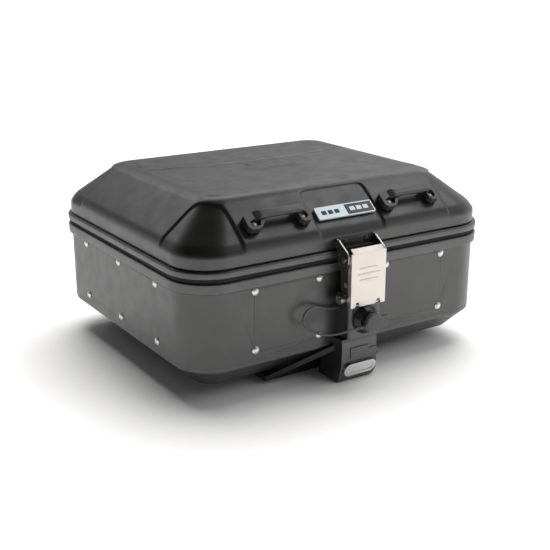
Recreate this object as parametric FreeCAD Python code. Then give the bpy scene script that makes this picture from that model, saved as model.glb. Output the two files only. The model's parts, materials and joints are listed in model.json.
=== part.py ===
import FreeCAD, Part
import math
import os

# Aluminium motorcycle top case: riveted wall band on a moulded tray, pressed lid on a
# rear hinge, over-centre latch with a hook, key lock with a tethered dust cap and a
# push-button release for the carrier plate. Millimetres, +Z up, latch side faces -Y.
# Stored closed but unlatched: the hook stands clear of its bolt and the lock is open.

os.makedirs("parts", exist_ok=True)

V = FreeCAD.Vector
UP = V(0, 0, 1)
ALONG_X = V(1, 0, 0)
ALONG_Y = V(0, 1, 0)

# Walls
HALF_W = 200.0            # half width over the aluminium walls
HALF_D = 170.0            # half depth over the aluminium walls
CORNER_R = 45.0           # vertical corner radius
SKIN = 1.5                # sheet thickness
FIT = 0.05                # clearance between parts fixed together
WALL_BOTTOM = 42.0
WALL_TOP = 130.0
ROW_LOW = 55.0            # height of the lower rivet row
ROW_HIGH = 119.5          # height of the upper rivet row
RIVET_X = (-126.0, -45.0, 45.0, 126.0)
RIVET_Y = (-91.0, 0.0, 91.0)
RIVET_HEAD_R = 4.4
RIVET_SHANK_R = 2.0

# Moulded tray under the walls: (inset, height) of the outside
TRAY_T = 2.6
TRAY_SECTIONS = ((3.0, 42.0), (3.6, 37.0), (27.0, 15.0))
TRAY_FLOOR_Z = 15.0
TRAY_SKIRT_TOP = 66.0

# Rims and seal
RIM_OUT = 4.0             # how far the rims stand outside the walls
RIM_IN = -9.0
BODY_RIM_Z = (124.0, 135.5)
LID_RIM_Z = (139.6, 147.6)
SEAL_TOP = 139.2

# Lid: (half width, half depth, corner radius, height)
LID_SECTIONS = (
    (200.0, 170.0, 45.0, 147.8),
    (200.0, 170.0, 45.0, 163.0),
    (196.0, 166.0, 41.0, 171.0),
    (156.0, 126.0, 16.0, 204.0),
    (150.0, 120.0, 12.0, 208.0),
)
EMBOSS = 2.4              # height of the pressed panels on top
SLOPE_DEG = math.degrees(math.atan2(204.0 - 171.0, 40.0))
SLOPE_IN = 24.0           # mid-slope, inward from the wall plane
SLOPE_Z = 187.5           # mid-slope height
BADGE_UP = -7.0           # badge centre, along the slope from its middle

# Rear hinge
HINGE_X = (-112.0, 112.0)
HINGE_Y = 182.0
HINGE_Z = 137.5
HINGE_R = 5.0
HINGE_PIN_R = 2.5
HINGE_W = 54.0
RUN = 0.08                # radial clearance of a turning pin

# Latch
BRACKET_W = 51.0
BRACKET_RIVET_X = (-14.0, 14.0)
LEVER_Y = -187.0
LEVER_Z = 141.0
CLAW_Y = -187.0
CLAW_Z = 112.0
BOLT_Y = -183.0
BOLT_Z = 95.5
BOLT_R = 2.8
COVER_FRONT = -196.5
COVER_W = 46.4
COVER_Z = (88.0, 148.0)
PIN_R = 2.5

# Housings on the front wall
HOUSING_HALF = 21.5
HOUSING_FRONT = -192.0
HOUSING_Z = (51.0, 87.0)
LOCK_Z = 71.0
BARREL_R = 8.5
ROOT_R = 9.5
BARREL_END = -206.5
KNOB_FRONT = -199.8
KEY_R = 5.5
CAP_R = 11.0
CAP_Y = (-210.0, -205.2)
TONGUE_X = (13.0, 17.0)
TONGUE_Y = (-190.6, -188.8)
RELEASE_X = -3.0          # the release housing sits a little left of the lock
RELEASE_SECTIONS = (      # left, right, front, height
    (-30.0, 21.5, -185.5, 0.6),
    (-27.5, 21.0, -188.0, 20.0),
    (-27.0, 20.5, -188.0, 45.0),
    (-27.0, 20.5, -186.5, 49.5),
)
BUTTON_TILT = 15.0        # the button faces forward and a little down
BUTTON_LEN = 43.0
BUTTON_H = 16.0
BUTTON_Z = 14.5
BUTTON_Y = -187.0

# Cap tether
TETHER_R = 1.3
TETHER = (
    V(-12.6, -207.5, 69.0),
    V(-28.0, -207.5, 69.0),
    V(-50.0, -192.0, 61.0),
    V(-71.0, -184.0, 70.0),
    V(-76.0, -181.0, 86.0),
    V(-58.0, -178.0, 94.0),
    V(-37.0, -175.5, 84.0),
    V(-21.5, -175.5, 84.0),
)

# Underside frame
FRAME_HALF_X = 104.0
FRAME_Y = (-104.0, 138.0)
FRONT_FOOT = (-94.0, -13.0, -138.0, -103.0)   # foot bar under the strut: x, x, y, y
FRAME_TOP = 14.7
POCKET_X = (14.0, 84.0)
POCKET_Y = (-76.0, 108.0)
POCKET_TOP = 9.0
HOOK_Z = (3.0, 7.6)
STRUT_TOP = (-176.5, -170.0, 36.0, 42.5)      # strut section at the release housing: y, y, z, z
STRUT_FOOT = (-146.0, -130.0, 4.0, 9.5)       # and where it runs into the frame


def rounded_wire(hx, hy, r, z):
    """Closed rounded rectangle, always drawn in the same order so lofts match."""
    k = r * math.sqrt(0.5)
    corners = ((hx - r, hy - r, 0), (r - hx, hy - r, 90), (r - hx, r - hy, 180), (hx - r, r - hy, 270))
    edges = []
    points = []
    for cx, cy, a in corners:
        a0 = math.radians(a)
        am = math.radians(a + 45)
        a1 = math.radians(a + 90)
        start = V(cx + r * math.cos(a0), cy + r * math.sin(a0), z)
        mid = V(cx + r * math.cos(am), cy + r * math.sin(am), z)
        end = V(cx + r * math.cos(a1), cy + r * math.sin(a1), z)
        points.append((start, mid, end))
    for i, (start, mid, end) in enumerate(points):
        edges.append(Part.Arc(start, mid, end).toShape())
        nxt = points[(i + 1) % 4][0]
        edges.append(Part.makeLine(end, nxt))
    return Part.Wire(edges)


def wall_block(offset, z0, z1):
    """Solid block with the plan outline of the walls, grown by offset."""
    wire = rounded_wire(HALF_W + offset, HALF_D + offset, CORNER_R + offset, z0)
    return Part.Face(wire).extrude(V(0, 0, z1 - z0))


def ring(out, inn, z0, z1):
    return wall_block(out, z0, z1).cut(wall_block(inn, z0 - 1, z1 + 1))


def box(x0, x1, y0, y1, z0, z1):
    return Part.makeBox(x1 - x0, y1 - y0, z1 - z0, V(x0, y0, z0))


def rod(r, start, axis, length):
    return Part.makeCylinder(r, length, start, axis)


def bar_x(r, x0, x1, y, z):
    return rod(r, V(x0, y, z), ALONG_X, x1 - x0)


def plate_yz(points, x0, x1):
    """Plate with the given (y, z) outline, from x0 to x1."""
    pts = [V(x0, y, z) for y, z in points]
    return Part.Face(Part.makePolygon(pts + [pts[0]])).extrude(V(x1 - x0, 0, 0))


def frustum(points, inset, z0, z1):
    """Raised panel with sloping edges; points run counter-clockwise round a convex outline."""
    n = len(points)
    cx = sum(p[0] for p in points) / n
    cy = sum(p[1] for p in points) / n
    low = [V(x, y, z0) for x, y in points]
    high = []
    for x, y in points:
        d = math.hypot(x - cx, y - cy)
        s = (d - inset) / d
        high.append(V(cx + (x - cx) * s, cy + (y - cy) * s, z1))
    wires = [Part.makePolygon(low + [low[0]]), Part.makePolygon(high + [high[0]])]
    return Part.makeLoft(wires, True, True)


def fuse(shapes):
    out = shapes[0]
    for s in shapes[1:]:
        out = out.fuse(s)
    return out.removeSplitter()


def cut_all(shape, tools):
    for t in tools:
        shape = shape.cut(t)
    return shape


def save(name, shape):
    if isinstance(shape, list):
        shape = Part.makeCompound(shape)
    shape.exportStep("parts/%s.step" % name)
    print(name, len(shape.Solids), "solids", round(shape.Volume), "mm3", shape.isValid())


def on_slope(shape, side, along, up=0.0):
    """Move a shape from local axes (along the edge, up the slope, outward) to a lid slope."""
    turn = {"front": 0, "right": 90, "back": 180, "left": 270}[side]
    half = HALF_D if side in ("front", "back") else HALF_W
    s = shape.copy()
    s.translate(V(along, up, 0))
    s.rotate(V(0, 0, 0), ALONG_X, SLOPE_DEG)
    s.translate(V(0, -(half - SLOPE_IN), SLOPE_Z))
    s.rotate(V(0, 0, 0), UP, turn)
    return s


def wall_spots():
    """(point on the wall's outside, outward direction) of every wall rivet."""
    spots = []
    for z in (ROW_LOW, ROW_HIGH):
        for x in RIVET_X:
            spots.append((V(x, -HALF_D, z), V(0, -1, 0)))
            under_hinge = z == ROW_HIGH and abs(x) > 100
            if not under_hinge:
                spots.append((V(x, HALF_D, z), V(0, 1, 0)))
        for y in RIVET_Y:
            spots.append((V(-HALF_W, y, z), V(-1, 0, 0)))
            spots.append((V(HALF_W, y, z), V(1, 0, 0)))
    return spots


def dome_rivet(at, out, head_r, shank_r, depth):
    """Rivet with a domed head standing on the point at."""
    sphere_r = head_r * 1.35
    drop = math.sqrt(sphere_r ** 2 - head_r ** 2)
    ball = Part.makeSphere(sphere_r, at - out * (drop - 0.4))
    keep = rod(head_r, at + out * FIT, out, sphere_r)
    shank = rod(shank_r, at - out * depth, out, depth + 1.0)
    return ball.common(keep).fuse(shank)


RIVET_HOLES = [rod(RIVET_SHANK_R + FIT, p - d * 12, d, 16) for p, d in wall_spots()]
SCREW_SPOTS = ((-12.0, 60.0), (12.0, 60.0), (-12.0, 82.0), (12.0, 82.0))
BASE_SCREWS = [(x, y) for x in (-94.0, 94.0) for y in (-90.0, 16.0, 122.0)]
SCREW_HOLES = [rod(2.1, V(x, -HALF_D - 8, z), ALONG_Y, 14) for x, z in SCREW_SPOTS]


def tray_outside(grow):
    wires = []
    for inset, z in TRAY_SECTIONS:
        g = grow - inset
        wires.append(rounded_wire(HALF_W + g, HALF_D + g, CORNER_R + g, z - grow))
    return Part.makeLoft(wires, True, True)


def make_base_tray():
    skirt_out = -(SKIN + FIT)
    outer = tray_outside(0)
    lip = ring(-0.4, skirt_out - TRAY_T, WALL_BOTTOM - 2.2, WALL_BOTTOM - FIT)
    skirt = ring(skirt_out, skirt_out - TRAY_T, WALL_BOTTOM - 1.0, TRAY_SKIRT_TOP)
    inner = tray_outside(-TRAY_T)
    opening = wall_block(skirt_out - TRAY_T, WALL_BOTTOM - TRAY_T - 0.6, 80)
    shape = cut_all(fuse([outer, lip, skirt]), [inner, opening])
    ribs = [box(x - 1, x + 1, -120, 120, TRAY_FLOOR_Z + TRAY_T - 0.5, TRAY_FLOOR_Z + TRAY_T + 1.5)
            for x in (-150, -60, -20, 20, 60, 150)]
    shape = fuse([shape] + ribs)
    holes = [rod(2.6, V(x, y, 10), UP, 12) for x, y in BASE_SCREWS]
    return cut_all(shape, RIVET_HOLES + SCREW_HOLES + holes)


def make_wall_band():
    return cut_all(ring(0, -SKIN, WALL_BOTTOM, WALL_TOP), RIVET_HOLES + SCREW_HOLES)


def make_body_rim():
    z0, z1 = BODY_RIM_Z
    outer = ring(RIM_OUT, FIT, z0, z1)
    bridge = ring(RIM_OUT, RIM_IN, WALL_TOP + FIT, z1)
    skirt = ring(-(SKIN + FIT), -(SKIN + FIT) - 2.4, 110, z1)
    groove = ring(-0.6, -5.4, z1 - 3.6, z1 + 1)
    return cut_all(fuse([outer, bridge, skirt]), [groove] + RIVET_HOLES)


def make_rim_seal():
    z1 = BODY_RIM_Z[1]
    root = ring(-0.9, -5.1, z1 - 3.4, z1 + 1)
    lips = ring(1.6, -6.4, z1 + 0.1, SEAL_TOP)
    hollow = ring(-1.6, -3.6, z1 + 1.0, SEAL_TOP - 1.0)
    return root.fuse(lips).cut(hollow)


def make_wall_rivets():
    return [dome_rivet(p, d, RIVET_HEAD_R, RIVET_SHANK_R, 6.0) for p, d in wall_spots()]


def make_strut():
    """Rib from the left side of the release housing down to the frame, clear of the tray."""
    wires = []
    for x, (y0, y1, z0, z1) in ((-24.0, STRUT_TOP), (-98.0, STRUT_FOOT)):
        pts = [V(x, y0, z0), V(x, y1, z0), V(x, y1, z1), V(x, y0, z1)]
        wires.append(Part.makePolygon(pts + [pts[0]]))
    clear = [tray_outside(1.5), wall_block(0.6, WALL_BOTTOM - 4, 60), release_block(0.2)]
    return cut_all(Part.makeLoft(wires, True, True), clear)


def make_base_frame():
    block = box(-FRAME_HALF_X, FRAME_HALF_X, FRAME_Y[0], FRAME_Y[1], 0, FRAME_TOP)
    uprights = [e for e in block.Edges if abs(e.Vertexes[0].Z - e.Vertexes[1].Z) > 10]
    block = block.makeFillet(10, uprights)
    spine = box(-14, 14, -149.6, FRAME_Y[0] + 1, 1.0, FRAME_TOP)
    foot = box(FRONT_FOOT[0], FRONT_FOOT[1], FRONT_FOOT[2], FRONT_FOOT[3], 0, FRAME_TOP)
    shape = fuse([block, spine, foot, make_strut()])
    front, back = POCKET_Y
    tools = []
    for s in (-1, 1):
        x0, x1 = sorted((s * POCKET_X[0], s * POCKET_X[1]))
        tools.append(box(x0, x1, front, back, -1, POCKET_TOP))
        x0, x1 = sorted((s * 30.0, s * 64.0))
        tools.append(box(x0, x1, back - 1, back + 9, 3, POCKET_TOP))
    tools.append(box(-15, 15, front - 1, front + 12, -1, POCKET_TOP))
    low, high = HOOK_Z[0] - 0.4, HOOK_Z[1] + 0.4
    tools.append(box(-60.5, 60.5, front - 20, front + 1, low, high))
    tools.append(box(-8.5, 8.5, -160, front - 10, low, high))
    tools.extend(rod(2.55, V(x, y, 4), UP, 14) for x, y in BASE_SCREWS)
    return cut_all(shape, tools)


def make_base_screws():
    out = []
    for x, y in BASE_SCREWS:
        top = TRAY_FLOOR_Z + TRAY_T
        head = rod(5.0, V(x, y, top + FIT), UP, 2.6)
        hexagon = rod(2.2, V(x, y, top + 1.2), UP, 3)
        out.append(head.fuse(rod(2.5, V(x, y, 5), UP, top - 4)).cut(hexagon))
    return out


def make_latch_housing():
    z0, z1 = HOUSING_Z
    back = -HALF_D - FIT
    block = box(-HOUSING_HALF, HOUSING_HALF, HOUSING_FRONT, back, z0, z1)
    uprights = [e for e in block.Edges if e.BoundBox.ZLength > 30 and e.BoundBox.YMax < -180]
    block = block.makeFillet(4, uprights)
    ears = []
    for s in (-1, 1):
        x0, x1 = sorted((s * 18.4, s * HOUSING_HALF))
        ears.append(plate_yz([(-187.5, z1 - 2), (-187.5, 98), (-184, 101), (back, 101), (back, z1 - 2)], x0, x1))
    shape = fuse([block] + ears)
    tools = [rod(ROOT_R + FIT, V(0, HOUSING_FRONT - 1, LOCK_Z), ALONG_Y, 9)]
    tools.append(rod(KEY_R + RUN, V(0, HOUSING_FRONT - 1, LOCK_Z), ALONG_Y, 17))
    tools.append(bar_x(BOLT_R + FIT, -30, 30, BOLT_Y, BOLT_Z))
    for s in (-1, 1):
        x0, x1 = sorted((s * (TONGUE_X[0] - 0.4), s * (TONGUE_X[1] + 0.4)))
        tools.append(box(x0, x1, TONGUE_Y[0] - 0.4, TONGUE_Y[1] + 0.4, 51.5, z1 + 1))
    tools.append(box(-17.4, 17.4, TONGUE_Y[0] - 0.4, TONGUE_Y[1] + 0.4, 51.5, 65.0))
    tools.extend(rod(1.9, V(x, -179.0, z), ALONG_Y, 12) for x, z in SCREW_SPOTS)
    return cut_all(shape, tools)


def release_block(grow):
    """Outside of the release housing: it widens a little towards the bottom."""
    wires = []
    for x0, x1, front, z in RELEASE_SECTIONS:
        pts = [V(x0 - grow, -150 + grow, z), V(x0 - grow, front - grow, z), V(x1 + grow, front - grow, z),
               V(x1 + grow, -150 + grow, z)]
        wires.append(Part.makePolygon(pts + [pts[0]]))
    return Part.makeLoft(wires, True, True)


def make_release_housing():
    block = release_block(0)
    low_right = [e for e in block.Edges
                 if e.BoundBox.YLength > 20 and e.BoundBox.ZMax < 3 and e.BoundBox.XMin > 10]
    block = block.makeFillet(9, low_right)
    tab = Part.makePolygon([V(19, -187, 36), V(26.5, -187, 25), V(19, -187, 24), V(19, -187, 36)])
    shape = fuse([block, Part.Face(tab).extrude(V(0, 6, 0))])
    tools = [tray_outside(0.2), wall_block(FIT, WALL_BOTTOM - 3, 60)]
    tools.append(button_shape(0.4, -4.0, 13.0))
    tools.append(box(-8.5, 8.5, -176, -149, HOOK_Z[0] - 0.4, HOOK_Z[1] + 0.4))
    tools.append(flap_plan(0.3, -190.0, -186.2))
    return cut_all(shape, tools)


def flap_plan(grow, y0, y1):
    """Stepped plate outline of the cover flap above the button."""
    outline = [(-15.5, 26.5), (20.0, 26.5), (20.0, 34.6), (9.0, 34.6), (9.0, 38.6), (-15.5, 38.6)]
    cx, cz = 2.2, 31.0
    pts = [V(x + math.copysign(grow, x - cx), y0, z + math.copysign(grow, z - cz)) for x, z in outline]
    return Part.Face(Part.makePolygon(pts + [pts[0]])).extrude(V(0, y1 - y0, 0))


def make_release_flap():
    return flap_plan(0, -188.9, -186.3)


def make_housing_screws():
    out = []
    for x, z in SCREW_SPOTS:
        inside = -HALF_D + SKIN + FIT
        if z < TRAY_SKIRT_TOP:
            inside += TRAY_T
        head = rod(4.0, V(x, inside + FIT, z), ALONG_Y, 2.5)
        shank = rod(1.85, V(x, -178.0, z), ALONG_Y, inside + 179.0)
        out.append(head.fuse(shank))
    return out


def make_lock_barrel():
    rings = []
    for r, y in ((16.5, HOUSING_FRONT - 0.1), (16.5, HOUSING_FRONT - 2.0), (12.0, KNOB_FRONT)):
        corners = [V(r * math.sin(a), y, LOCK_Z + r * math.cos(a))
                   for a in (math.radians(30 * i + 15) for i in range(12))]
        rings.append(Part.makePolygon(corners + [corners[0]]))
    grip = Part.makeLoft(rings, True, True)
    barrel = rod(BARREL_R, V(0, BARREL_END, LOCK_Z), ALONG_Y, 10)
    root = rod(ROOT_R, V(0, HOUSING_FRONT - 1, LOCK_Z), ALONG_Y, 8.5)
    bore = rod(KEY_R + RUN, V(0, BARREL_END - 1, LOCK_Z), ALONG_Y, 40)
    return fuse([grip, barrel, root]).cut(bore)


def make_key_cylinder():
    body = rod(KEY_R, V(0, BARREL_END + 0.6, LOCK_Z), ALONG_Y, 29.5)
    slot = box(-0.7, 0.7, BARREL_END, BARREL_END + 14, LOCK_Z - 4, LOCK_Z + 4)
    return body.cut(slot)


def make_lock_tongue():
    y0, y1 = TONGUE_Y
    parts = [box(-TONGUE_X[1], TONGUE_X[1], y0, y1, 52.0, 56.0)]
    for s in (-1, 1):
        x0, x1 = sorted((s * TONGUE_X[0], s * TONGUE_X[1]))
        parts.append(box(x0, x1, y0, y1, 52.0, 86.6))
    return fuse(parts)


def make_catch_bolt():
    shank = bar_x(BOLT_R, -23.6, 24.0, BOLT_Y, BOLT_Z)
    head = bar_x(5.0, -29.5, -21.6, BOLT_Y, BOLT_Z)
    nut = bar_x(4.6, 21.6, 25.6, BOLT_Y, BOLT_Z)
    socket = bar_x(2.2, -30, -26.5, BOLT_Y, BOLT_Z)
    return fuse([shank, head, nut]).cut(socket)


def make_dust_cap():
    y0, y1 = CAP_Y
    cup = rod(CAP_R, V(0, y0, LOCK_Z), ALONG_Y, y1 - y0)
    face = [e for e in cup.Edges if e.BoundBox.YMax < y0 + 0.1 and e.BoundBox.YLength < 0.01]
    cup = cup.makeFillet(1.2, face)
    hollow = rod(BARREL_R + RUN, V(0, BARREL_END - 0.6, LOCK_Z), ALONG_Y, 12)
    tab = box(CAP_R - 2.5, CAP_R + 7, y0 + 0.6, y0 + 4.0, LOCK_Z - 5.5, LOCK_Z + 6.5)
    lug = box(-CAP_R - 1.5, -CAP_R + 2, -209.4, -205.6, LOCK_Z - 4, LOCK_Z)
    grooves = [rod(0.9, V(CAP_R + 7.2, y0, LOCK_Z + dz), ALONG_Y, 6) for dz in (-4, -1, 2, 5)]
    return cut_all(fuse([cup, tab, lug]), [hollow] + grooves)


def button_shape(grow, depth0, depth1):
    """Oval prism along the button's axis, from depth0 to depth1 behind its seat."""
    r = BUTTON_H / 2 + grow
    half = BUTTON_LEN / 2 - BUTTON_H / 2
    middle = box(-half, half, depth0, depth1, -r, r)
    ends = [rod(r, V(s * half, depth0, 0), ALONG_Y, depth1 - depth0) for s in (-1, 1)]
    s = fuse([middle] + ends)
    s.rotate(V(0, 0, 0), ALONG_X, BUTTON_TILT)
    s.translate(V(RELEASE_X, BUTTON_Y, BUTTON_Z))
    return s


def make_release_button():
    body = button_shape(0, -3.2, 5.0)
    dish = button_shape(-3.6, -5.0, -2.5)
    return body.cut(dish)


def make_plate_hook():
    front = POCKET_Y[0]
    z0, z1 = HOOK_Z
    bar = box(-60, 60, front - 13, front, z0, z1)
    stem = box(-8, 8, -168, front - 12, z0, z1)
    nose = plate_yz([(front + 4, z0), (front + 4, z0 + 2), (front, z1), (front, z0)], -60, 60)
    return fuse([bar, stem, nose])


def hinge_piece(x, upper):
    """One hinge leaf with its knuckles; the pin runs along X."""
    half = HINGE_W / 2
    third = HINGE_W / 6
    wall = HALF_D + FIT
    proud = HALF_D + RIM_OUT + 0.2
    if upper:
        foot = box(x - half, x + half, wall, proud + 2, LID_RIM_Z[1] + 0.3, 162)
        leaf = box(x - third + 0.2, x + third - 0.2, proud, proud + 2, HINGE_Z + 0.4, 150)
        spans = [(x - third + 0.2, x + third - 0.2)]
        arm_z = (HINGE_Z + 0.4, HINGE_Z + HINGE_R)
    else:
        foot = box(x - half, x + half, wall, proud + 2, 100, BODY_RIM_Z[0] - 0.3)
        leaf = box(x - half, x + half, proud, proud + 2, 120, HINGE_Z - 0.4)
        spans = [(x - half, x - third - 0.2), (x + third + 0.2, x + half)]
        arm_z = (HINGE_Z - HINGE_R, HINGE_Z - 0.4)
    shape = [foot, leaf]
    for x0, x1 in spans:
        shape.append(bar_x(HINGE_R, x0, x1, HINGE_Y, HINGE_Z))
        shape.append(box(x0, x1, proud, HINGE_Y, arm_z[0], arm_z[1]))
    return cut_all(fuse(shape), [bar_x(HINGE_PIN_R + RUN, x - 40, x + 40, HINGE_Y, HINGE_Z)])


def make_hinge_pins():
    pins = []
    for x in HINGE_X:
        body = bar_x(HINGE_PIN_R, x - HINGE_W / 2 - 1.5, x + HINGE_W / 2 + 1.5, HINGE_Y, HINGE_Z)
        head = bar_x(HINGE_PIN_R + 1.2, x - HINGE_W / 2 - 3, x - HINGE_W / 2 - 0.4, HINGE_Y, HINGE_Z)
        pins.append(body.fuse(head))
    return pins


def make_hinge_rivets(z, x_step):
    """Rivets that hold the hinge feet, one row at height z."""
    out = []
    face = HALF_D + RIM_OUT + 2.2
    for x in HINGE_X:
        for s in (-1, 1):
            out.append(dome_rivet(V(x + s * x_step, face, z), V(0, 1, 0), 3.6, 1.8, 9.5))
    return out


def hinge_rivet_holes(z, x_step):
    return [rod(1.85, V(x + s * x_step, HALF_D - 12, z), ALONG_Y, 30) for x in HINGE_X for s in (-1, 1)]


def make_lid_rim():
    z0, z1 = LID_RIM_Z
    frame = ring(RIM_OUT, RIM_IN, z0, z1)
    skirt = ring(-(SKIN + 0.1), -(SKIN + 0.1) - 2.6, z1 - 1, 161)
    return fuse([frame, skirt])


def make_lid_shell():
    outer = Part.makeLoft([rounded_wire(*s) for s in LID_SECTIONS], True, True)
    inner_sections = []
    for i, (hx, hy, r, z) in enumerate(LID_SECTIONS):
        drop = (-1.0, 0.6, 1.2, 1.4, SKIN)[i]
        inner_sections.append(rounded_wire(hx - SKIN, hy - SKIN, r - SKIN, z - drop if i else z - 1))
    inner = Part.makeLoft(inner_sections, True, True)
    top = LID_SECTIONS[-1][3]
    front = frustum([(-138, -107), (138, -107), (143, -97), (68, -56), (-68, -56), (-143, -97)], 3, top - 1, top + EMBOSS)
    rear = frustum([(-130, 106), (-143, 48), (-75, 33), (75, 33), (143, 48), (130, 106)], 3, top - 1, top + EMBOSS)
    bars = []
    for i, half in enumerate((26, 34, 26)):
        y = -30 + 18 * i
        bars.append(frustum([(-half, y - 5), (half, y - 5), (half, y + 5), (-half, y + 5)], 2, top - 1, top + 1.4))
    panels = [front, rear] + bars
    for side in ("front", "back"):
        for s in (-1, 1):
            flat = frustum([(-47, -22), (47, -22), (47, 23), (-47, 23)], 2.5, -0.8, 1.5)
            panels.append(on_slope(flat, side, s * 88))
    for side in ("left", "right"):
        flat = frustum([(-108, -22), (108, -22), (108, 23), (-108, 23)], 2.5, -0.8, 1.5)
        panels.append(on_slope(flat, side, 0))
    return fuse([outer] + panels).cut(inner)


def make_strap_anchor(side, along):
    """Moulded strap loop: a broad shield-shaped foot, a narrow foot and a raised bar between them."""
    broad = [(-40, 6), (-37, 9), (-15, 9), (-16, -1), (-24, -10), (-28, -12), (-37, -12), (-40, -8)]
    narrow = [(24, 9), (36, 9), (38, 6), (38, -9), (35, -12), (27, -12), (24, -8)]
    over = [(-28, 7), (-28, 9.5), (-20, 13), (26, 13), (34, 9.5), (34, 7), (24.5, 7), (24.5, 9),
            (-15.5, 9), (-15.5, 7)]
    across = [(-1, 6), (-1, 11.2), (1, 13), (7, 13), (9, 11.2), (9, 6)]
    feet = []
    for outline in (broad, narrow):
        pts = [V(x, y, 1.6) for x, y in outline]
        feet.append(Part.Face(Part.makePolygon(pts + [pts[0]])).extrude(V(0, 0, 7.4)))
    pts = [V(x, -2, z) for x, z in over]
    bar = Part.Face(Part.makePolygon(pts + [pts[0]])).extrude(V(0, 12, 0))
    loop = fuse(feet + [bar.common(plate_yz(across, -40, 40))])
    dish = [V(-36, -1.5, 4.6), V(-22, -1.5, 4.6), V(-26, -8.5, 4.6), V(-35, -8.5, 4.6)]
    loop = loop.cut(Part.Face(Part.makePolygon(dish + [dish[0]])).extrude(V(0, 0, 4.5)))
    for s in (-1, 1):
        loop = loop.cut(rod(4.2, V(s * 30, -4, 4.6), UP, 12))
        loop = loop.cut(rod(2.05, V(s * 30, -4, 0), UP, 20))
    return on_slope(loop, side, along, -5)


def make_anchor_rivets():
    out = []
    for side in ("front", "back"):
        for a in (-88, 88):
            for s in (-1, 1):
                r = dome_rivet(V(s * 30, -4, 4.6), UP, 3.8, 2.0, 12.0)
                out.append(on_slope(r, side, a, -5))
    return out


def anchor_holes():
    out = []
    for side in ("front", "back"):
        for a in (-88, 88):
            for s in (-1, 1):
                out.append(on_slope(rod(2.05, V(s * 30, -4, -12), UP, 30), side, a, -5))
    return out


def make_badge():
    plate = box(-38, 38, -8, 8, 0.1, 2.2)
    corners = [e for e in plate.Edges if abs(e.Vertexes[0].Z - e.Vertexes[1].Z) > 1]
    plate = plate.makeFillet(2.0, corners)
    pocket = box(1, 36.5, -6.5, 6.5, 1.5, 3)
    inlay = box(1.1, 36.4, -6.4, 6.4, 1.55, 2.6)
    return on_slope(plate.cut(pocket), "front", 0, BADGE_UP), on_slope(inlay, "front", 0, BADGE_UP)


def make_latch_bracket():
    half = BRACKET_W / 2
    face = -HALF_D - FIT
    rim = -HALF_D - RIM_OUT - 0.3
    shape = [box(-half, half, face - 2, face, 147.9, 160)]
    shape.append(box(-half, half, rim - 2, face, 147.9, 149.9))
    shape.append(box(-half, half, rim - 2, rim, 128, 149.9))
    cheek = [(rim, 128), (rim - 1, 127), (-188, 128.5), (-192.6, 133), (-193.4, 145), (-191, 149), (-176, 159),
             (face - 1, 160), (face - 1, 148.2), (rim, 148.2)]
    for s in (-1, 1):
        x0, x1 = sorted((s * (half - 2), s * half))
        shape.append(plate_yz(cheek, x0, x1))
    shape = fuse(shape)
    window = box(2 - half, half - 2, rim - 3, rim + 1, 130, 147.6)
    pin = bar_x(PIN_R + FIT, -40, 40, LEVER_Y, LEVER_Z)
    holes = [rod(1.85, V(x, -180, 155), ALONG_Y, 20) for x in BRACKET_RIVET_X]
    return cut_all(shape, [window, pin] + holes)


def make_bracket_rivets():
    return [dome_rivet(V(x, -HALF_D - 2 - FIT, 155), V(0, -1, 0), 3.4, 1.8, 8.0)
            for x in BRACKET_RIVET_X]


def make_lever_pin():
    body = bar_x(PIN_R, -27.6, 27.6, LEVER_Y, LEVER_Z)
    heads = [bar_x(3.4, 25.6, 27.6, LEVER_Y, LEVER_Z), bar_x(3.4, -27.6, -25.6, LEVER_Y, LEVER_Z)]
    return fuse([body] + heads)


def make_latch_cover():
    half = COVER_W / 2
    z0, z1 = COVER_Z
    f = COVER_FRONT
    b = f + SKIN
    front = box(-half, half, f, b, z0, z1)
    head = plate_yz([(f, z1 - 0.2), (-190.6, 152.2), (-190.0, 150.8), (b, z1 - 0.8)], -half + 2.5, half - 2.5)
    lip = box(-half, half, f, -190.6, z0, z0 + SKIN)
    deep_lip = box(-18.0, 18.0, f, -187.2, z0, z0 + SKIN)
    shape = fuse([front, head, lip, deep_lip])
    for s in (-1, 1):
        x0, x1 = sorted((s * 22.45, s * half))
        shape = shape.fuse(box(x0, x1, f, -190.4, z0 + 2, z1 - 3))
    tools = [box(-15.0, 15.0, f - 1, b - 0.4, z0 - 1, z0 + 3.4)]
    for s in (-1, 1):
        x0, x1 = sorted((s * (TONGUE_X[0] - 0.4), s * 19.0))
        tools.append(box(x0, x1, TONGUE_Y[0] - 0.4, TONGUE_Y[1] + 0.4, z0 - 1, z0 + SKIN + 1))
        notch = [(s * 10.5, z0), (s * 12.5, z0 + 5.5), (s * 15.5, z0 + 5.5), (s * 17.5, z0)]
        pts = [V(x, f - 1, z) for x, z in notch]
        tools.append(Part.Face(Part.makePolygon(pts + [pts[0]])).extrude(V(0, SKIN + 3, 0)))
    tools.append(box(-7.5, 7.5, b + 0.3, -180, z0 - 1, z0 + SKIN + 1))
    return cut_all(shape, tools)


def make_lever_channel():
    b = COVER_FRONT + SKIN + FIT
    web = box(-22, 22, b, b + 1.2, 118, 146)
    sides = []
    outline = [(b, 103), (b, 146), (-184, 147), (-179, 143), (-177, 134), (-177, 105), (-179, 103)]
    for s in (-1, 1):
        x0, x1 = sorted((s * 20.8, s * 22.4))
        sides.append(plate_yz(outline, x0, x1))
    shape = fuse([web] + sides)
    return cut_all(shape, [bar_x(PIN_R + RUN, -30, 30, LEVER_Y, LEVER_Z), bar_x(2.05, -30, 30, CLAW_Y, CLAW_Z)])


def make_claw_pin():
    body = bar_x(2.0, -23.6, 23.6, CLAW_Y, CLAW_Z)
    heads = [bar_x(2.8, 22.5, 23.6, CLAW_Y, CLAW_Z), bar_x(2.8, -23.6, -22.5, CLAW_Y, CLAW_Z)]
    return fuse([body] + heads)


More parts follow.
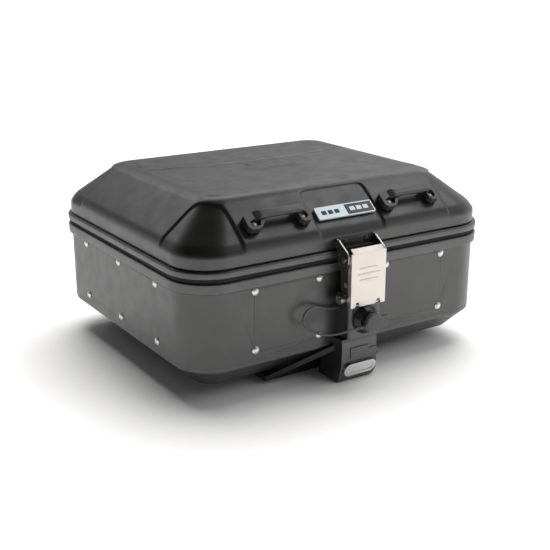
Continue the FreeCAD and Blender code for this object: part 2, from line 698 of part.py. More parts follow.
def make_latch_claw():
    eye = bar_x(4.2, -6.5, 6.5, CLAW_Y, CLAW_Z)
    outline = [(-191.0, CLAW_Z - 5), (-191.0, 91.2), (-187.0, 91.2), (-187.0, 88.3), (-193.4, 88.3),
               (-193.4, CLAW_Z - 2), (-190.5, CLAW_Z + 2.5), (-187.0, CLAW_Z + 4.2), (-184.0, CLAW_Z)]
    stem = plate_yz(outline, -6.5, 6.5)
    return fuse([eye, stem]).cut(bar_x(2.0 + RUN, -10, 10, CLAW_Y, CLAW_Z))


def cord_tube(points, radius, label):
    """Tube along straight runs joined by tangent arcs; prints the arc radii."""
    n = len(points)
    edges = []
    last = points[0]
    for i in range(1, n - 1):
        a = (points[i - 1] - points[i])
        b = (points[i + 1] - points[i])
        la, lb = a.Length, b.Length
        a.normalize()
        b.normalize()
        turn = math.pi - a.getAngle(b)
        arc_r = 0.45 * min(la, lb) / math.tan(turn / 2)
        back = 0.45 * min(la, lb)
        p0 = points[i] + a * back
        p1 = points[i] + b * back
        bis = a + b
        bis.normalize()
        centre = points[i] + bis * (math.hypot(arc_r, back))
        mid = centre - bis * arc_r
        print(label, "run", round(la, 1), "turn", round(math.degrees(turn)), "radius", round(arc_r, 1))
        edges.append(Part.makeLine(last, p0))
        edges.append(Part.Arc(p0, mid, p1).toShape())
        last = p1
    edges.append(Part.makeLine(last, points[-1]))
    print(label, "run", round((points[-1] - points[-2]).Length, 1))
    path = Part.Wire(edges)
    start = (points[1] - points[0])
    circle = Part.Wire(Part.makeCircle(radius, points[0], start))
    tube = path.makePipeShell([circle], True, True)
    print(label, "volume ratio", round(tube.Volume / (math.pi * radius ** 2 * path.Length), 3))
    return tube


def main():
    save("base_tray", make_base_tray())
    low_holes = hinge_rivet_holes(107, 16)
    high_holes = hinge_rivet_holes(156, 16)
    save("wall_band", cut_all(make_wall_band(), low_holes))
    save("body_rim", make_body_rim())
    save("rim_seal", make_rim_seal())
    save("wall_rivets", make_wall_rivets())
    save("base_frame", make_base_frame())
    save("base_screws", make_base_screws())
    save("latch_housing", make_latch_housing())
    save("release_housing", make_release_housing())
    save("release_flap", make_release_flap())
    save("housing_screws", make_housing_screws())
    save("lock_barrel", make_lock_barrel())
    save("key_cylinder", make_key_cylinder())
    save("lock_tongue", make_lock_tongue())
    save("catch_bolt", make_catch_bolt())
    save("dust_cap", make_dust_cap())
    save("cap_tether", cord_tube(TETHER, TETHER_R, "cap_tether"))
    save("release_button", make_release_button())
    save("plate_hook", make_plate_hook())
    save("hinge_base_leaves", [cut_all(hinge_piece(x, False), low_holes) for x in HINGE_X])
    save("hinge_pins", make_hinge_pins())
    save("hinge_base_rivets", make_hinge_rivets(107, 16))
    bracket_holes = [rod(1.85, V(x, -180, 155), ALONG_Y, 20) for x in BRACKET_RIVET_X]
    save("lid_rim", cut_all(make_lid_rim(), high_holes + bracket_holes))
    save("lid_shell", cut_all(make_lid_shell(), anchor_holes() + high_holes + bracket_holes))
    save("hinge_lid_leaves", [cut_all(hinge_piece(x, True), high_holes) for x in HINGE_X])
    save("hinge_lid_rivets", make_hinge_rivets(156, 16))
    for side, word in (("front", "front"), ("back", "rear")):
        for along in (-88, 88):
            hand = "left" if (along < 0) == (side == "front") else "right"
            save("strap_anchor_%s_%s" % (word, hand), make_strap_anchor(side, along))
    save("anchor_rivets", make_anchor_rivets())
    plate, inlay = make_badge()
    save("badge_plate", plate)
    save("badge_inlay", inlay)
    save("latch_bracket", make_latch_bracket())
    save("bracket_rivets", make_bracket_rivets())
    save("lever_pin", make_lever_pin())
    save("latch_cover", make_latch_cover())
    save("lever_channel", make_lever_channel())
    save("claw_pin", make_claw_pin())
    save("latch_claw", make_latch_claw())


main()
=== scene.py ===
"""Looks of the motorcycle top case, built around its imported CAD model. Metres, +Z up, latch side -Y."""

import json
import math

import bpy
import numpy as np
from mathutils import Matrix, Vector

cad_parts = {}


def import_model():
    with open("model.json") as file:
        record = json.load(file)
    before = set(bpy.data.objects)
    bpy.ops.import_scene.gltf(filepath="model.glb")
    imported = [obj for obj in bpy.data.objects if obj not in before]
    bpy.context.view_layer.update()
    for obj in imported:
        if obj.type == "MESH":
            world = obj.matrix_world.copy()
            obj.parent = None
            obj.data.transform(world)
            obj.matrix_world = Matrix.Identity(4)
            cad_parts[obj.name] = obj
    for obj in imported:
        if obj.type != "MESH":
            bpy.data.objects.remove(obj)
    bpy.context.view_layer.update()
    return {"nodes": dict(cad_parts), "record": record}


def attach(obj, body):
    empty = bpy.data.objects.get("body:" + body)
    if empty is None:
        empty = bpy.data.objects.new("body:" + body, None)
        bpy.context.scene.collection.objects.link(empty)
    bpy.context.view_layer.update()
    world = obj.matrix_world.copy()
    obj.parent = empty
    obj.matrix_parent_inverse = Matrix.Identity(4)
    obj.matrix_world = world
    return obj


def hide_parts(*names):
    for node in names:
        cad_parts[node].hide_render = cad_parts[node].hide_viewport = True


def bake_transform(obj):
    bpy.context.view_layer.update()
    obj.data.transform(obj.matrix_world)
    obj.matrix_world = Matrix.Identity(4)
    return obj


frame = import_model()
nodes = frame["nodes"]
MM = 0.001

# ---------------------------------------------------------------- node helpers


def new_material(name):
    m = bpy.data.materials.new(name)
    m.use_nodes = True
    nt = m.node_tree
    return m, nt, nt.nodes["Principled BSDF"]


def object_coords(nt):
    return nt.nodes.new("ShaderNodeTexCoord").outputs["Object"]


def noise(nt, coords, scale, detail=3.0, rough=0.55, stretch=None):
    n = nt.nodes.new("ShaderNodeTexNoise")
    n.inputs["Scale"].default_value = scale
    n.inputs["Detail"].default_value = detail
    n.inputs["Roughness"].default_value = rough
    source = coords
    if stretch is not None:
        mp = nt.nodes.new("ShaderNodeMapping")
        mp.inputs["Scale"].default_value = stretch
        nt.links.new(coords, mp.inputs["Vector"])
        source = mp.outputs["Vector"]
    nt.links.new(source, n.inputs["Vector"])
    return n.outputs["Fac"]


def spread(nt, value, low, high, from_low=0.3, from_high=0.7):
    r = nt.nodes.new("ShaderNodeMapRange")
    r.inputs["From Min"].default_value = from_low
    r.inputs["From Max"].default_value = from_high
    r.inputs["To Min"].default_value = low
    r.inputs["To Max"].default_value = high
    nt.links.new(value, r.inputs["Value"])
    return r.outputs["Result"]


def two_tone(nt, value, dark, light):
    ramp = nt.nodes.new("ShaderNodeValToRGB")
    ramp.color_ramp.elements[0].position = 0.3
    ramp.color_ramp.elements[1].position = 0.7
    ramp.color_ramp.elements[0].color = (*dark, 1)
    ramp.color_ramp.elements[1].color = (*light, 1)
    nt.links.new(value, ramp.inputs["Fac"])
    return ramp.outputs["Color"]


def bump(nt, bsdf, height, strength, distance):
    b = nt.nodes.new("ShaderNodeBump")
    b.inputs["Strength"].default_value = strength
    b.inputs["Distance"].default_value = distance
    nt.links.new(height, b.inputs["Height"])
    nt.links.new(b.outputs["Normal"], bsdf.inputs["Normal"])


def surface(name, color, rough, metal=0.0, vary=0.12, rough_vary=0.06, grain=900.0, grain_depth=0.00006,
            grain_strength=0.35, stretch=None, ior=1.5, specular=0.5):
    """A finish with slow colour drift, uneven roughness and a fine grain in the surface."""
    m, nt, bsdf = new_material(name)
    co = object_coords(nt)
    slow = noise(nt, co, 14.0, 4.0)
    dark = tuple(c * (1 - vary) for c in color)
    light = tuple(min(1.0, c * (1 + vary)) for c in color)
    nt.links.new(two_tone(nt, slow, dark, light), bsdf.inputs["Base Color"])
    patch = noise(nt, co, 55.0, 5.0)
    nt.links.new(spread(nt, patch, rough - rough_vary, rough + rough_vary), bsdf.inputs["Roughness"])
    fine = noise(nt, co, grain, 2.0, 0.5, stretch)
    bump(nt, bsdf, fine, grain_strength, grain_depth)
    bsdf.inputs["Metallic"].default_value = metal
    bsdf.inputs["IOR"].default_value = ior
    bsdf.inputs["Specular IOR Level"].default_value = specular
    return m


MATERIALS = {
    "coated_aluminium": surface("coated_aluminium", (0.0068, 0.0065, 0.0058), 0.36, grain=1500.0,
                                grain_depth=0.00004, grain_strength=0.25, ior=1.6, specular=0.8),
    "moulded_black": surface("moulded_black", (0.009, 0.009, 0.0085), 0.40, grain=1200.0, ior=1.6,
                             specular=1.0),
    "seal_rubber": surface("seal_rubber", (0.004, 0.004, 0.004), 0.75, grain=700.0),
    "rivet_aluminium": surface("rivet_aluminium", (0.72, 0.72, 0.69), 0.32, metal=0.85, grain=700.0,
                               vary=0.08),
    "frame_black": surface("frame_black", (0.010, 0.010, 0.010), 0.5, grain=1000.0),
    "zinc_steel": surface("zinc_steel", (0.50, 0.50, 0.50), 0.34, metal=1.0, grain=600.0, vary=0.1),
    "housing_black": surface("housing_black", (0.012, 0.012, 0.012), 0.40, grain=1100.0, ior=1.6,
                             specular=0.9),
    "lock_black": surface("lock_black", (0.010, 0.010, 0.011), 0.30, grain=900.0),
    "cap_rubber": surface("cap_rubber", (0.060, 0.061, 0.062), 0.50, grain=900.0, specular=0.8),
    "button_chrome": surface("button_chrome", (0.80, 0.79, 0.78), 0.13, metal=1.0, rough_vary=0.03,
                             grain=300.0, grain_strength=0.06, vary=0.03),
    "hinge_steel": surface("hinge_steel", (0.020, 0.020, 0.020), 0.42, grain=1000.0),
    "anchor_black": surface("anchor_black", (0.022, 0.022, 0.023), 0.36, grain=1100.0, ior=1.55,
                            specular=0.7),
    "badge_silver": surface("badge_silver", (0.50, 0.57, 0.61), 0.35, metal=0.3, grain=600.0, vary=0.05),
    "badge_black": surface("badge_black", (0.012, 0.012, 0.014), 0.25, grain=600.0),
    "bracket_dark": surface("bracket_dark", (0.040, 0.039, 0.037), 0.38, metal=0.3, grain=900.0),
    "cover_satin": surface("cover_satin", (0.66, 0.605, 0.56), 0.36, metal=0.9, grain=500.0,
                           grain_depth=0.00003, grain_strength=0.22, stretch=(0.12, 1.0, 1.6), vary=0.04),
    "edge_bare": surface("edge_bare", (0.62, 0.61, 0.59), 0.32, metal=0.9, grain=600.0),
    "print_dark": surface("print_dark", (0.02, 0.022, 0.025), 0.45, grain=800.0),
    "print_light": surface("print_light", (0.52, 0.55, 0.58), 0.35, metal=0.4, grain=800.0),
}
SLOT_OF = {s["node"]: s["material_slot"] for s in frame["record"]["subparts"]}

# ---------------------------------------------------------------- CAD nodes

SHARP = math.radians(32)
PLAIN_BEVEL = 0.2
BEVELS = {                     # width in millimetres, where it differs from the plain one
    "latch_housing": 0.9, "release_housing": 1.1, "release_flap": 0.4, "release_button": 1.4,
    "latch_cover": 0.35, "latch_bracket": 0.35, "lever_channel": 0.3, "latch_claw": 0.3,
    "lock_barrel": 0.5, "key_cylinder": 0.3, "dust_cap": 0.7, "catch_bolt": 0.5,
    "strap_anchor_front_left": 0.7, "strap_anchor_front_right": 0.7,
    "strap_anchor_rear_left": 0.7, "strap_anchor_rear_right": 0.7,
    "base_frame": 1.2, "base_tray": 0.8, "wall_band": 0.25, "body_rim": 1.5, "lid_rim": 1.8,
    "hinge_base_leaves": 0.5, "hinge_lid_leaves": 0.5, "plate_hook": 0.4,
    "badge_plate": 0.3, "wall_rivets": 0.0,
}


def dress_cad(node, obj):
    """Smooth faces, softened edges and the slot's finish for a CAD node; its mesh stays as it is."""
    obj.data.materials.clear()
    obj.data.materials.append(MATERIALS[SLOT_OF[node]])
    weld = obj.modifiers.new("weld", "WELD")
    weld.merge_threshold = 1e-5
    width = BEVELS.get(node, PLAIN_BEVEL)
    if width:
        bevel = obj.modifiers.new("bevel", "BEVEL")
        bevel.width = width * MM
        bevel.segments = 2
        bevel.limit_method = "ANGLE"
        bevel.angle_limit = SHARP
        bevel.use_clamp_overlap = True
        bevel.harden_normals = False
    obj.data.shade_smooth()
    smooth = obj.modifiers.new("normals", "WEIGHTED_NORMAL")
    smooth.keep_sharp = True


for node_name, node_obj in nodes.items():
    dress_cad(node_name, node_obj)


# ---------------------------------------------------------------- mesh helpers


def make_mesh(name, verts, faces, material, body, smooth=True):
    me = bpy.data.meshes.new(name)
    me.from_pydata([tuple(v) for v in verts], [], faces)
    me.validate()
    me.update()
    if smooth:
        me.shade_smooth()
    obj = bpy.data.objects.new(name, me)
    bpy.context.scene.collection.objects.link(obj)
    me.materials.append(material)
    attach(obj, body)
    return obj


def smoothstep(x, low, high):
    t = np.clip((x - low) / (high - low), 0.0, 1.0)
    return t * t * (3 - 2 * t)


def soft_min(values, k):
    """Smallest of several signed distances, with rounded corners of about radius k."""
    total = 0.0
    for v in values:
        total = total + np.exp(-v / k)
    return -k * np.log(total)


def inside_polygon(x, y, points, k=3.0):
    """Signed distance into a convex polygon whose points run counter-clockwise."""
    sides = []
    for (x0, y0), (x1, y1) in zip(points, points[1:] + points[:1]):
        length = math.hypot(x1 - x0, y1 - y0)
        sides.append(((x1 - x0) * (y - y0) - (y1 - y0) * (x - x0)) / length)
    return soft_min(sides, k)


# ---------------------------------------------------------------- lid skin

HALF_W = 200.0
HALF_D = 170.0
CORNER_R = 45.0
LID_BASE_Z = 147.9
SLOPE_START_Z = 167.7
SLOPE = 0.825
TOP_Z = 208.6
SHOULDER_R = 20.0
BROW_R = 26.0
STEP = 1.5
SKIN = 3.9                     # how far the inside of the lid skin lies behind its outside
LONG_SIDE_CUTS = 200
SHORT_SIDE_CUTS = 170
CORNER_CUTS = 28
ARC_CUTS = 14
DEEPEST_INSET = 163.0          # where the rings stop and one flat face closes the top


def arc_profile():
    """(inset, height, outward share, upward share) down the middle of a lid side, in millimetres."""
    slope_angle = math.atan(SLOPE)
    top_inset = (TOP_Z - SLOPE_START_Z) / SLOPE
    turn_low = math.pi / 2 - slope_angle
    back_low = SHOULDER_R * math.tan(turn_low / 2)
    back_high = BROW_R * math.tan(slope_angle / 2)
    rows = []
    for z in np.linspace(LID_BASE_Z, SLOPE_START_Z - back_low, 7):
        rows.append((0.0, z, 1.0, 0.0))
    cz = SLOPE_START_Z - back_low
    for a in np.linspace(0, turn_low, ARC_CUTS)[1:]:
        rows.append((SHOULDER_R * (1 - math.cos(a)), cz + SHOULDER_R * math.sin(a), math.cos(a), math.sin(a)))
    along = (math.cos(slope_angle), math.sin(slope_angle))
    normal = (math.sin(slope_angle), math.cos(slope_angle))
    length = math.hypot(top_inset, TOP_Z - SLOPE_START_Z) - back_low - back_high
    start = rows[-1]
    count = int(length / STEP)
    for i in range(1, count + 1):
        s = length * i / count
        rows.append((start[0] + along[0] * s, start[1] + along[1] * s, *normal))
    end = rows[-1]
    for i in range(1, ARC_CUTS + 1):
        a = slope_angle * (1 - i / ARC_CUTS)
        d = end[0] + BROW_R * (math.sin(slope_angle) - math.sin(a))
        z = end[1] + BROW_R * (math.cos(a) - math.cos(slope_angle))
        rows.append((d, z, math.sin(a), math.cos(a)))
    d, z = rows[-1][:2]
    while d < DEEPEST_INSET:
        d += STEP
        rows.append((d, z, 0.0, 1.0))
    return rows


def plan_radius(inset):
    """The corner radius shrinks as the outline steps in."""
    if inset < 50:
        return CORNER_R - 0.5 * inset
    return 20.0 - (inset - 50.0) / 113.0 * 16.0


def outline(inset, shrink=0.0):
    """Plan points and outward directions of a rounded rectangle stepped in by inset."""
    hx, hy = HALF_W - inset - shrink, HALF_D - inset - shrink
    r = min(plan_radius(inset), hy * 0.95)
    points, dirs = [], []
    spans = ((hx - r, hy - r, 0, LONG_SIDE_CUTS), (r - hx, hy - r, 90, SHORT_SIDE_CUTS),
             (r - hx, r - hy, 180, LONG_SIDE_CUTS), (hx - r, r - hy, 270, SHORT_SIDE_CUTS))
    for i, (cx, cy, a0, count) in enumerate(spans):
        for a in np.linspace(math.radians(a0), math.radians(a0 + 90), CORNER_CUTS):
            points.append((cx + r * math.cos(a), cy + r * math.sin(a)))
            dirs.append((math.cos(a), math.sin(a)))
        end = points[-1]
        nx, ny, na, _ = spans[(i + 1) % 4]
        nxt = (nx + r * math.cos(math.radians(na)), ny + r * math.sin(math.radians(na)))
        for t in np.linspace(0, 1, count + 2)[1:-1]:
            points.append((end[0] + (nxt[0] - end[0]) * t, end[1] + (nxt[1] - end[1]) * t))
            dirs.append((math.cos(math.radians(a0 + 90)), math.sin(math.radians(a0 + 90))))
    return np.array(points), np.array(dirs)


CORNER_X = 137.0               # the corner recesses start here
CORNER_Y = 103.0
CENTRE_X = 43.0                # half width of the recess behind the badge
RECESS = 1.5
PRESS = 1.0
MARK = 0.9
MARK_BARS = (24.0, 34.0, 24.0)
MARK_Y = -22.0
MARK_PITCH = 17.0
FRONT_PANEL = [(-137.0, -111.0), (137.0, -111.0), (147.0, -101.0), (144.0, -84.0), (64.0, -38.0),
               (-64.0, -38.0), (-144.0, -84.0), (-147.0, -101.0)]
REAR_PANEL = [(-66.0, 30.0), (66.0, 30.0), (136.0, 46.0), (140.0, 60.0), (128.0, 101.0), (-128.0, 101.0),
              (-140.0, 60.0), (-136.0, 46.0)]


def relief(x, y, z, inset):
    """How far the pressed skin stands out (+) or in (-) at a point, in millimetres."""
    ax, ay = np.abs(x), np.abs(y)
    above_band = smoothstep(z, 160.0, 170.0)
    corner = soft_min([ax - CORNER_X, ay - CORNER_Y, 45.0 - inset + 0 * x], 5.0)
    sunk = smoothstep(corner, -1.1, 1.1) * above_band
    centre = soft_min([CENTRE_X - ax, ay - 108.0, 46.0 - inset + 0 * x], 3.5)
    sunk = np.maximum(sunk, smoothstep(centre, -1.1, 1.1) * above_band)
    flat = smoothstep(inset, 52.0, 58.0)
    raised = smoothstep(inside_polygon(x, y, FRONT_PANEL), -1.5, 1.5)
    raised = np.maximum(raised, smoothstep(inside_polygon(x, y, REAR_PANEL), -1.5, 1.5))
    mark = np.zeros_like(x)
    for i, half in enumerate(MARK_BARS):
        cy = MARK_Y + MARK_PITCH * i
        bar = soft_min([half - ax, 4.5 - np.abs(y - cy)], 1.2)
        ridge = smoothstep(bar, -1.0, 0.4) - 0.7 * smoothstep(bar, 0.8, 2.2)
        mark = np.maximum(mark, ridge)
    return PRESS * raised * flat + MARK * mark * flat - RECESS * sunk


def lid_skin():
    rows = arc_profile()
    verts, faces = [], []
    for inset, z, out, up in rows:
        p, d = outline(inset)
        e = relief(p[:, 0], p[:, 1], np.full(len(p), z), np.full(len(p), inset))
        verts.append(np.column_stack([p[:, 0] + d[:, 0] * out * e, p[:, 1] + d[:, 1] * out * e, z + up * e]))
    n = len(verts[0])
    outer_rows = len(rows)
    for inset, z, out, up in [r for i, r in enumerate(rows) if i % 4 == 0] + [rows[-1]]:
        p, d = outline(inset)
        q = p - d * out * SKIN
        verts.append(np.column_stack([q[:, 0], q[:, 1], np.full(n, z - up * SKIN)]))
    total = len(verts)
    all_verts = np.concatenate(verts) * MM
    loop = list(range(n))
    for j in range(outer_rows - 1):
        for i in loop:
            k = (i + 1) % n
            faces.append((j * n + i, j * n + k, (j + 1) * n + k, (j + 1) * n + i))
    faces.append(tuple((outer_rows - 1) * n + i for i in loop))
    for j in range(outer_rows, total - 1):
        for i in loop:
            k = (i + 1) % n
            faces.append((j * n + i, (j + 1) * n + i, (j + 1) * n + k, j * n + k))
    faces.append(tuple((total - 1) * n + i for i in reversed(loop)))
    for i in loop:
        k = (i + 1) % n
        faces.append((i, outer_rows * n + i, outer_rows * n + k, k))
    obj = make_mesh("lid_skin", all_verts, faces, MATERIALS["coated_aluminium"], "lid")
    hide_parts("lid_shell")
    return obj


lid_skin()

# ---------------------------------------------------------------- cap tether

TETHER = [(-12.6, -207.5, 69.0), (-28.0, -207.5, 69.0), (-50.0, -192.0, 61.0), (-71.0, -184.0, 70.0),
          (-76.0, -181.0, 86.0), (-58.0, -178.0, 94.0), (-37.0, -175.5, 84.0), (-21.5, -175.5, 84.0)]
TETHER_R = 1.3


def route_points(route):
    """Points along the smooth spline through the tether's route, in metres."""
    curve = bpy.data.curves.new("tether_route", "CURVE")
    curve.dimensions = "3D"
    curve.resolution_u = 14
    s = curve.splines.new("NURBS")
    s.points.add(len(route) - 1)
    for point, at in zip(s.points, route):
        point.co = (*[v * MM for v in at], 1.0)
    s.order_u = 3
    s.use_endpoint_u = True
    obj = bpy.data.objects.new("tether_route", curve)
    bpy.context.scene.collection.objects.link(obj)
    me = bpy.data.meshes.new_from_object(obj)
    points = [v.co.copy() for v in me.vertices]
    bpy.data.objects.remove(obj)
    bpy.data.curves.remove(curve)
    bpy.data.meshes.remove(me)
    return points


def tube(points, radius, sides=14):
    """Vertices and faces of a closed round tube along the points."""
    verts, faces = [], []
    n = len(points)
    for i, p in enumerate(points):
        along = (points[min(i + 1, n - 1)] - points[max(i - 1, 0)]).normalized()
        side = along.cross(Vector((0, 0, 1))).normalized()
        up = side.cross(along)
        for k in range(sides):
            a = 2 * math.pi * k / sides
            verts.append(p + side * (radius * math.cos(a)) + up * (radius * math.sin(a)))
    for i in range(n - 1):
        for k in range(sides):
            m = (k + 1) % sides
            faces.append((i * sides + k, i * sides + m, (i + 1) * sides + m, (i + 1) * sides + k))
    faces.append(tuple(range(sides - 1, -1, -1)))
    faces.append(tuple((n - 1) * sides + k for k in range(sides)))
    return verts, faces


def cap_tether():
    points = route_points(TETHER)
    verts, faces = tube(points, TETHER_R * MM)
    me = bpy.data.meshes.new("cap_tether_cord")
    me.from_pydata([tuple(v) for v in verts], [], faces)
    me.shade_smooth()
    obj = bpy.data.objects.new("cap_tether_cord", me)
    bpy.context.scene.collection.objects.link(obj)
    me.materials.append(MATERIALS["cap_rubber"])
    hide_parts("cap_tether")
    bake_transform(obj)


cap_tether()

# ---------------------------------------------------------------- small details


def prism(name, outline_points, low, high, place, material, body):
    """Closed prism of a plan outline between two heights; place() maps local points to the case."""
    n = len(outline_points)
    verts = [place(x, y, low) for x, y in outline_points] + [place(x, y, high) for x, y in outline_points]
    faces = [tuple(range(n - 1, -1, -1)), tuple(range(n, 2 * n))]
    faces += [(i, (i + 1) % n, n + (i + 1) % n, n + i) for i in range(n)]
    return make_mesh(name, [Vector(v) * MM for v in verts], faces, material, body, smooth=False)


SLOPE_ANGLE = math.atan2(33.0, 40.0)


SLOPE_IN = 24.0                # middle of the lid's slope, inward from the wall
SLOPE_Z = 187.5
BADGE_UP = -7.0                # badge centre, along the slope from its middle
BADGE_BARS = (                 # finish, slot, bar centres, half width, low and high over the slope
    ("dark", "print_dark", "badge_black", (-28.5, -20.0, -11.5), 3.2, 2.0, 2.28),
    ("light", "print_light", "badge_silver", (9.0, 18.0, 27.0), 3.4, 2.5, 2.7),
)


def on_badge(x, up, out):
    """From the badge's own plane to the case, in millimetres."""
    up = up + BADGE_UP
    y = -(HALF_D - SLOPE_IN) + up * math.cos(SLOPE_ANGLE) - out * math.sin(SLOPE_ANGLE)
    return (x, y, SLOPE_Z + up * math.sin(SLOPE_ANGLE) + out * math.cos(SLOPE_ANGLE))


def rounded_bar(cx, cy, half_x, half_y, r, steps=5):
    points = []
    for sx, sy, a0 in ((1, 1, 0), (-1, 1, 90), (-1, -1, 180), (1, -1, 270)):
        for k in range(steps + 1):
            a = math.radians(a0 + 90 * k / steps)
            x = cx + sx * (half_x - r) + r * math.cos(a)
            y = cy + sy * (half_y - r) + r * math.sin(a)
            points.append((x, y))
    return points


def badge_print():
    """Plain bars on both halves of the badge."""
    for word, finish, slot, centres, half, low, high in BADGE_BARS:
        for i, x in enumerate(centres):
            prism("badge_bar_%s_%d" % (word, i), rounded_bar(x, 0, half, 2.6, 0.8), low, high, on_badge,
                  MATERIALS[finish], "lid")


COVER_FACE = -196.3
COVER_MIDDLE_Z = 124.0
RIB_RISE = 0.55
RIBS = ((6.5, 13.0), (0.0, 16.0), (-6.5, 13.0))       # height from the middle, half width


def cover_ribs():
    """Three low pressed ribs on the latch cover."""
    for i, (dz, half) in enumerate(RIBS):
        points = rounded_bar(0, COVER_MIDDLE_Z + dz, half, 1.7, 1.6)
        n = len(points)
        verts = [(x, COVER_FACE, z) for x, z in points]
        crest = rounded_bar(0, COVER_MIDDLE_Z + dz, half - 0.9, 0.8, 0.75)
        verts += [(x, COVER_FACE - RIB_RISE, z) for x, z in crest]
        faces = [(k, (k + 1) % n, n + (k + 1) % n, n + k) for k in range(n)] + [tuple(range(n, 2 * n))]
        make_mesh("cover_rib_%d" % i, [Vector(v) * MM for v in verts], faces, MATERIALS["cover_satin"],
                  "lever")


def edge_strip(name, line, x0, x1, thick, body):
    """Bare metal strip along the (y, z) line of a sheet's cut edge."""
    verts, faces = [], []
    for i, (y, z) in enumerate(line):
        a = line[max(i - 1, 0)]
        b = line[min(i + 1, len(line) - 1)]
        dy, dz = b[0] - a[0], b[1] - a[1]
        length = math.hypot(dy, dz)
        ny, nz = -dz / length * thick, dy / length * thick
        verts += [(x0, y, z), (x1, y, z), (x1, y + ny, z + nz), (x0, y + ny, z + nz)]
    for i in range(len(line) - 1):
        for k in range(4):
            m = (k + 1) % 4
            faces.append((4 * i + k, 4 * i + m, 4 * i + 4 + m, 4 * i + 4 + k))
    last = 4 * (len(line) - 1)
    faces += [(3, 2, 1, 0), (last, last + 1, last + 2, last + 3)]
    make_mesh(name, [Vector(v) * MM for v in verts], faces, MATERIALS["edge_bare"], body,
              smooth=False)


CHEEK_EDGE = [                 # (y, z) down the front edge of the latch bracket's cheeks
    (-171.6, 160.0), (-176.0, 159.0), (-191.0, 149.0), (-192.6, 147.0), (-193.4, 144.8), (-193.0, 139.0),
    (-192.4, 134.0),
]
EDGE_THICK = -0.12


def bracket_edges():
    for word, x0, x1 in (("left", -25.5, -24.0), ("right", 23.6, 25.5)):
        edge_strip("bracket_edge_" + word, CHEEK_EDGE, x0, x1, EDGE_THICK, "lid")


LOCK_Z = 71.0
KNURL_STEP = 0.45
KNURL_PITCH = 2.7
KNURL_RISE = 0.5
CAP_FACE = -210.02
TAB_FACE = -209.42


def cap_knurl():
    """Diamond knurling on the face of the dust cap and its tab."""
    xs = np.arange(-10.0, 17.4, KNURL_STEP)
    zs = np.arange(-9.9, 9.95, KNURL_STEP)
    gx, gz = np.meshgrid(xs, zs, indexing="ij")
    disc = 9.6 - np.hypot(gx, gz)
    tab = np.minimum(np.minimum(gx, 17.2 - gx), np.minimum(gz + 4.8, 5.8 - gz))
    inside = np.maximum(disc, tab)
    u = (gx + gz) / KNURL_PITCH
    v = (gx - gz) / KNURL_PITCH
    height = KNURL_RISE * np.abs(np.sin(np.pi * u)) * np.abs(np.sin(np.pi * v)) * np.clip(inside / 0.8, 0, 1)
    base = np.where(disc > 0, CAP_FACE, TAB_FACE)
    verts, faces, index = [], [], {}
    for i in range(len(xs) - 1):
        for j in range(len(zs) - 1):
            cells = ((i, j), (i + 1, j), (i + 1, j + 1), (i, j + 1))
            if min(inside[c] for c in cells) < 0:
                continue
            quad = []
            for c in cells:
                if c not in index:
                    index[c] = len(verts)
                    verts.append((gx[c], base[c] - height[c], LOCK_Z + gz[c]))
                quad.append(index[c])
            faces.append(tuple(quad))
    make_mesh("cap_knurl", [Vector(v) * MM for v in verts], faces, MATERIALS["cap_rubber"], "cap")


badge_print()
cover_ribs()
bracket_edges()
cap_knurl()

# ---------------------------------------------------------------- studio

FLOOR_HALF = 30.0
HORIZON = (0.10, 0.55, 0.45, 0.01)        # from and to this height of direction, strength there
RIGHT_WALL = (0.25, 0.8, 0.0, 0.5)
SKY_STRENGTH = 3.95
SKY_ANGLE = 55.0
SKY_TRAVEL = (-0.30, -0.40, -1.0)
CENTRE = (0.0, 0.0, 0.12)
SOFTBOXES = (                             # name, place, size, power; all aim at the case
    ("back_softbox", (0.86, 1.41, 1.57), (3.2, 0.7), 12.0),
    ("right_softbox", (1.15, -0.35, 1.75), (1.0, 0.8), 4.0),
    ("left_softbox", (-0.70, 1.75, 1.30), (0.9, 0.6), 1.5),
)
SENSOR = 36.0
FOCAL_IN_WIDTHS = 966.0 / 550.0           # focal length over the picture's width
CAMERA_AT = (-0.619, -0.960, 0.438)
CAMERA_YAW = 33.2
CAMERA_PITCH = 17.9


def floor():
    me = bpy.data.meshes.new("floor")
    f = FLOOR_HALF
    me.from_pydata([(-f, -f, 0), (f, -f, 0), (f, f, 0), (-f, f, 0)], [], [(0, 1, 2, 3)])
    obj = bpy.data.objects.new("floor", me)
    bpy.context.scene.collection.objects.link(obj)
    me.materials.append(surface("floor_paper", (0.86, 0.855, 0.845), 0.8, vary=0.01, grain=60.0,
                                grain_depth=0.0002, grain_strength=0.05))


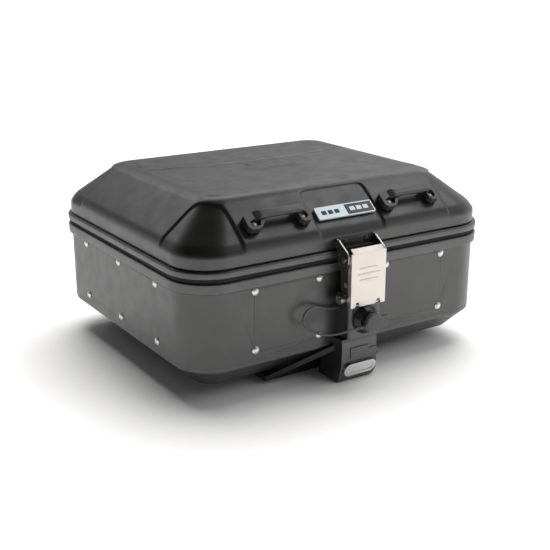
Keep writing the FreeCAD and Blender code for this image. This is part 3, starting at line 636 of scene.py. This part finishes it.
def world():
    """Bright near the horizon, dark overhead, a pale wall on the right; the backdrop itself is white."""
    w = bpy.data.worlds.new("studio")
    bpy.context.scene.world = w
    w.use_nodes = True
    nt = w.node_tree
    bg = nt.nodes["Background"]
    direction = nt.nodes.new("ShaderNodeTexCoord").outputs["Generated"]
    split = nt.nodes.new("ShaderNodeSeparateXYZ")
    nt.links.new(direction, split.inputs[0])

    def ramp(value, from_low, from_high, low, high):
        r = nt.nodes.new("ShaderNodeMapRange")
        r.interpolation_type = "SMOOTHSTEP"
        r.inputs["From Min"].default_value = from_low
        r.inputs["From Max"].default_value = from_high
        r.inputs["To Min"].default_value = low
        r.inputs["To Max"].default_value = high
        nt.links.new(value, r.inputs["Value"])
        return r.outputs["Result"]

    add = nt.nodes.new("ShaderNodeMath")
    add.operation = "ADD"
    nt.links.new(ramp(split.outputs["Z"], *HORIZON), add.inputs[0])
    nt.links.new(ramp(split.outputs["X"], *RIGHT_WALL), add.inputs[1])
    backdrop = nt.nodes.new("ShaderNodeMath")
    backdrop.operation = "ADD"
    nt.links.new(add.outputs[0], backdrop.inputs[0])
    nt.links.new(nt.nodes.new("ShaderNodeLightPath").outputs["Is Camera Ray"], backdrop.inputs[1])
    nt.links.new(backdrop.outputs[0], bg.inputs["Strength"])
    bg.inputs["Color"].default_value = (0.97, 0.97, 1.0, 1)


def area_light(name, at, aim, size, power):
    data = bpy.data.lights.new(name, "AREA")
    data.shape = "RECTANGLE"
    data.size, data.size_y = size
    data.energy = power
    obj = bpy.data.objects.new(name, data)
    obj.location = at
    obj.rotation_mode = "QUATERNION"
    obj.rotation_quaternion = (Vector(aim) - Vector(at)).to_track_quat("-Z", "Y")
    bpy.context.scene.collection.objects.link(obj)
    return obj


def lights():
    sun = bpy.data.lights.new("sky_light", "SUN")
    sun.energy = SKY_STRENGTH
    sun.angle = math.radians(SKY_ANGLE)
    sun_obj = bpy.data.objects.new("sky_light", sun)
    sun_obj.rotation_mode = "QUATERNION"
    sun_obj.rotation_quaternion = Vector(SKY_TRAVEL).to_track_quat("-Z", "Y")
    sun_obj.visible_glossy = False
    bpy.context.scene.collection.objects.link(sun_obj)
    for name, at, size, power in SOFTBOXES:
        area_light(name, at, CENTRE, size, power)
    lamp = area_light("floor_light", (0.85, -1.15, 1.1), (0.55, -0.85, 0.0), (1.0, 1.0), 8.0)
    lamp.visible_glossy = False


def camera():
    data = bpy.data.cameras.new("camera")
    data.sensor_width = SENSOR
    data.lens = SENSOR * FOCAL_IN_WIDTHS
    data.clip_end = 200.0
    obj = bpy.data.objects.new("camera", data)
    bpy.context.scene.collection.objects.link(obj)
    yaw, pitch = math.radians(CAMERA_YAW), math.radians(CAMERA_PITCH)
    forward = Vector((math.sin(yaw) * math.cos(pitch), math.cos(yaw) * math.cos(pitch), -math.sin(pitch)))
    obj.location = CAMERA_AT
    obj.rotation_mode = "QUATERNION"
    obj.rotation_quaternion = forward.to_track_quat("-Z", "Y")
    bpy.context.scene.camera = obj


floor()
world()
lights()
camera()
bpy.context.scene.view_settings.view_transform = "Standard"
